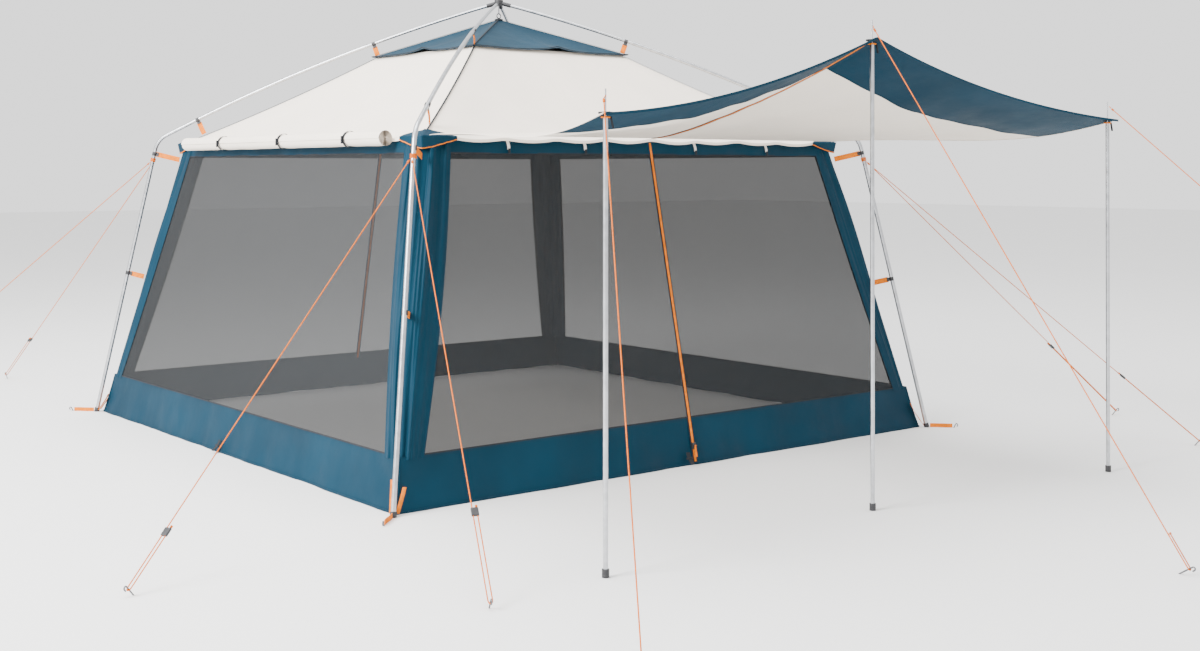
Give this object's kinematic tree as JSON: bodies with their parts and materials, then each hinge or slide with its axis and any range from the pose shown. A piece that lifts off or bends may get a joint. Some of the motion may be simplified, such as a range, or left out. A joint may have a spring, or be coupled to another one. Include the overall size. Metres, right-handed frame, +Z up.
{
  "type": "screen house",
  "caption": "Floorless square screen house with an outside tube frame, screen walls, zipped doors, a vented hip roof and a storm wall propped out as an awning.",
  "frame": {"origin": "on the ground, at the middle of the shelter with its awning but without its guy lines and pegs", "axes": "+Z up; the awning side faces -Y; +X runs along the awning side, to the right of someone facing it"},
  "size_m": [5.3414, 7.3115, 2.149],
  "materials": {
    "frame_tube": "satin anodised",
    "black_plastic": "moulded, fine grain",
    "bright_steel": "zinc plated",
    "teal_cloth": "coated polyester weave",
    "cream_cloth": "coated polyester weave",
    "screen": "fine open screen",
    "orange_webbing": "woven webbing",
    "black_webbing": "woven webbing",
    "pole_tube": "satin anodised",
    "zip_metal": "black enamel",
    "orange_cord": "braided cord"
  },
  "bodies": {
    "house": {"leg_front_left": "frame_tube", "leg_front_right": "frame_tube", "leg_back_right": "frame_tube", "leg_back_left": "frame_tube", "roof_pole_front_left": "frame_tube", "roof_pole_front_right": "frame_tube", "roof_pole_back_right": "frame_tube", "roof_pole_back_left": "frame_tube", "roof_pole_tips": "frame_tube", "knee_bends": "frame_tube", "tube_ferrules": "frame_tube", "hub": "black_plastic", "leg_feet": "black_plastic", "pole_clips": "black_plastic", "peak_hook": "bright_steel", "ground_pegs": "bright_steel", "awning_grommets": "bright_steel", "vent_cap": "teal_cloth", "eave_band": "teal_cloth", "sleeve_front_left": "teal_cloth", "sleeve_front_right": "teal_cloth", "sleeve_back_right": "teal_cloth", "sleeve_back_left": "teal_cloth", "skirt_front": "teal_cloth", "skirt_back": "teal_cloth", "skirt_left": "teal_cloth", "skirt_right": "teal_cloth", "awning": "cream_cloth", "roof_canopy": "cream_cloth", "rolled_wall": "cream_cloth", "vent_mesh": "screen", "mesh_front": "screen", "mesh_back": "screen", "mesh_left": "screen", "mesh_right": "screen", "webbing": "orange_webbing", "zip_tapes": "orange_webbing", "roll_ties": "black_webbing", "guy_line_front_left_side": "orange_cord", "guy_line_front_left_front": "orange_cord", "guy_line_front_right_side": "orange_cord", "guy_line_front_right_front": "orange_cord", "guy_line_back_left_side": "orange_cord", "guy_line_back_left_back": "orange_cord", "guy_line_awning_left": "orange_cord", "guy_line_awning_middle": "orange_cord", "guy_line_awning_right": "orange_cord"},
    "pole_left": {"awning_pole_left": "pole_tube"},
    "pole_middle": {"awning_pole_middle": "pole_tube"},
    "pole_right": {"awning_pole_right": "pole_tube"},
    "slider_front_left_side": {"tensioner_front_left_side": "black_plastic"},
    "slider_front_left_front": {"tensioner_front_left_front": "black_plastic"},
    "slider_front_right_side": {"tensioner_front_right_side": "black_plastic"},
    "slider_front_right_front": {"tensioner_front_right_front": "black_plastic"},
    "slider_back_left_side": {"tensioner_back_left_side": "black_plastic"},
    "slider_back_left_back": {"tensioner_back_left_back": "black_plastic"},
    "zip_front": {"zip_slider_front": "zip_metal"},
    "pull_front": {"zip_pull_front": "orange_webbing"},
    "zip_back": {"zip_slider_back": "zip_metal"},
    "pull_back": {"zip_pull_back": "orange_webbing"}
  },
  "joints": [
    {"name": "swing_pole_left", "type": "hinge", "parent": "house", "child": "pole_left", "pos_m": [-1.415, -2.08422, 1.458], "axis": [1, 0, 0], "range_deg": [-5, 5]},
    {"name": "swing_pole_middle", "type": "hinge", "parent": "house", "child": "pole_middle", "pos_m": [-0.062, -2.00122, 1.766], "axis": [1, 0, 0], "range_deg": [-5, 5]},
    {"name": "swing_pole_right", "type": "hinge", "parent": "house", "child": "pole_right", "pos_m": [1.262, -2.15123, 1.492], "axis": [1, 0, 0], "range_deg": [-5, 5]},
    {"name": "slide_front_left_side", "type": "slide", "parent": "house", "child": "slider_front_left_side", "axis": [-0.6857, -0.303, -0.6619], "range_m": [0, 0.14]},
    {"name": "slide_front_left_front", "type": "slide", "parent": "house", "child": "slider_front_left_front", "axis": [-0.293, -0.6952, -0.6565], "range_m": [0, 0.25]},
    {"name": "slide_front_right_side", "type": "slide", "parent": "house", "child": "slider_front_right_side", "axis": [0.6647, -0.311, -0.6793], "range_m": [0, 0.44]},
    {"name": "slide_front_right_front", "type": "slide", "parent": "house", "child": "slider_front_right_front", "axis": [0.3986, -0.6527, -0.6443], "range_m": [0, 0.37]},
    {"name": "slide_back_left_side", "type": "slide", "parent": "house", "child": "slider_back_left_side", "axis": [-0.7201, 0.1881, -0.6679], "range_m": [0, 0.31]},
    {"name": "slide_back_left_back", "type": "slide", "parent": "house", "child": "slider_back_left_back", "axis": [-0.0958, 0.803, -0.5882], "range_m": [0, 0.34]},
    {"name": "zip_travel_front", "type": "slide", "parent": "house", "child": "zip_front", "axis": [0, 0.2159, 0.9764], "range_m": [0, 1.24]},
    {"name": "pull_hinge_front", "type": "hinge", "parent": "zip_front", "child": "pull_front", "pos_m": [0, -0.94618, 0.0807], "axis": [-1, 0, 0], "range_deg": [0, 110]},
    {"name": "zip_travel_back", "type": "slide", "parent": "house", "child": "zip_back", "axis": [0, -0.2159, 0.9764], "range_m": [0, 1.24]},
    {"name": "pull_hinge_back", "type": "hinge", "parent": "zip_back", "child": "pull_back", "pos_m": [0, 2.04373, 0.0807], "axis": [1, 0, 0], "range_deg": [0, 110]}
  ]
}
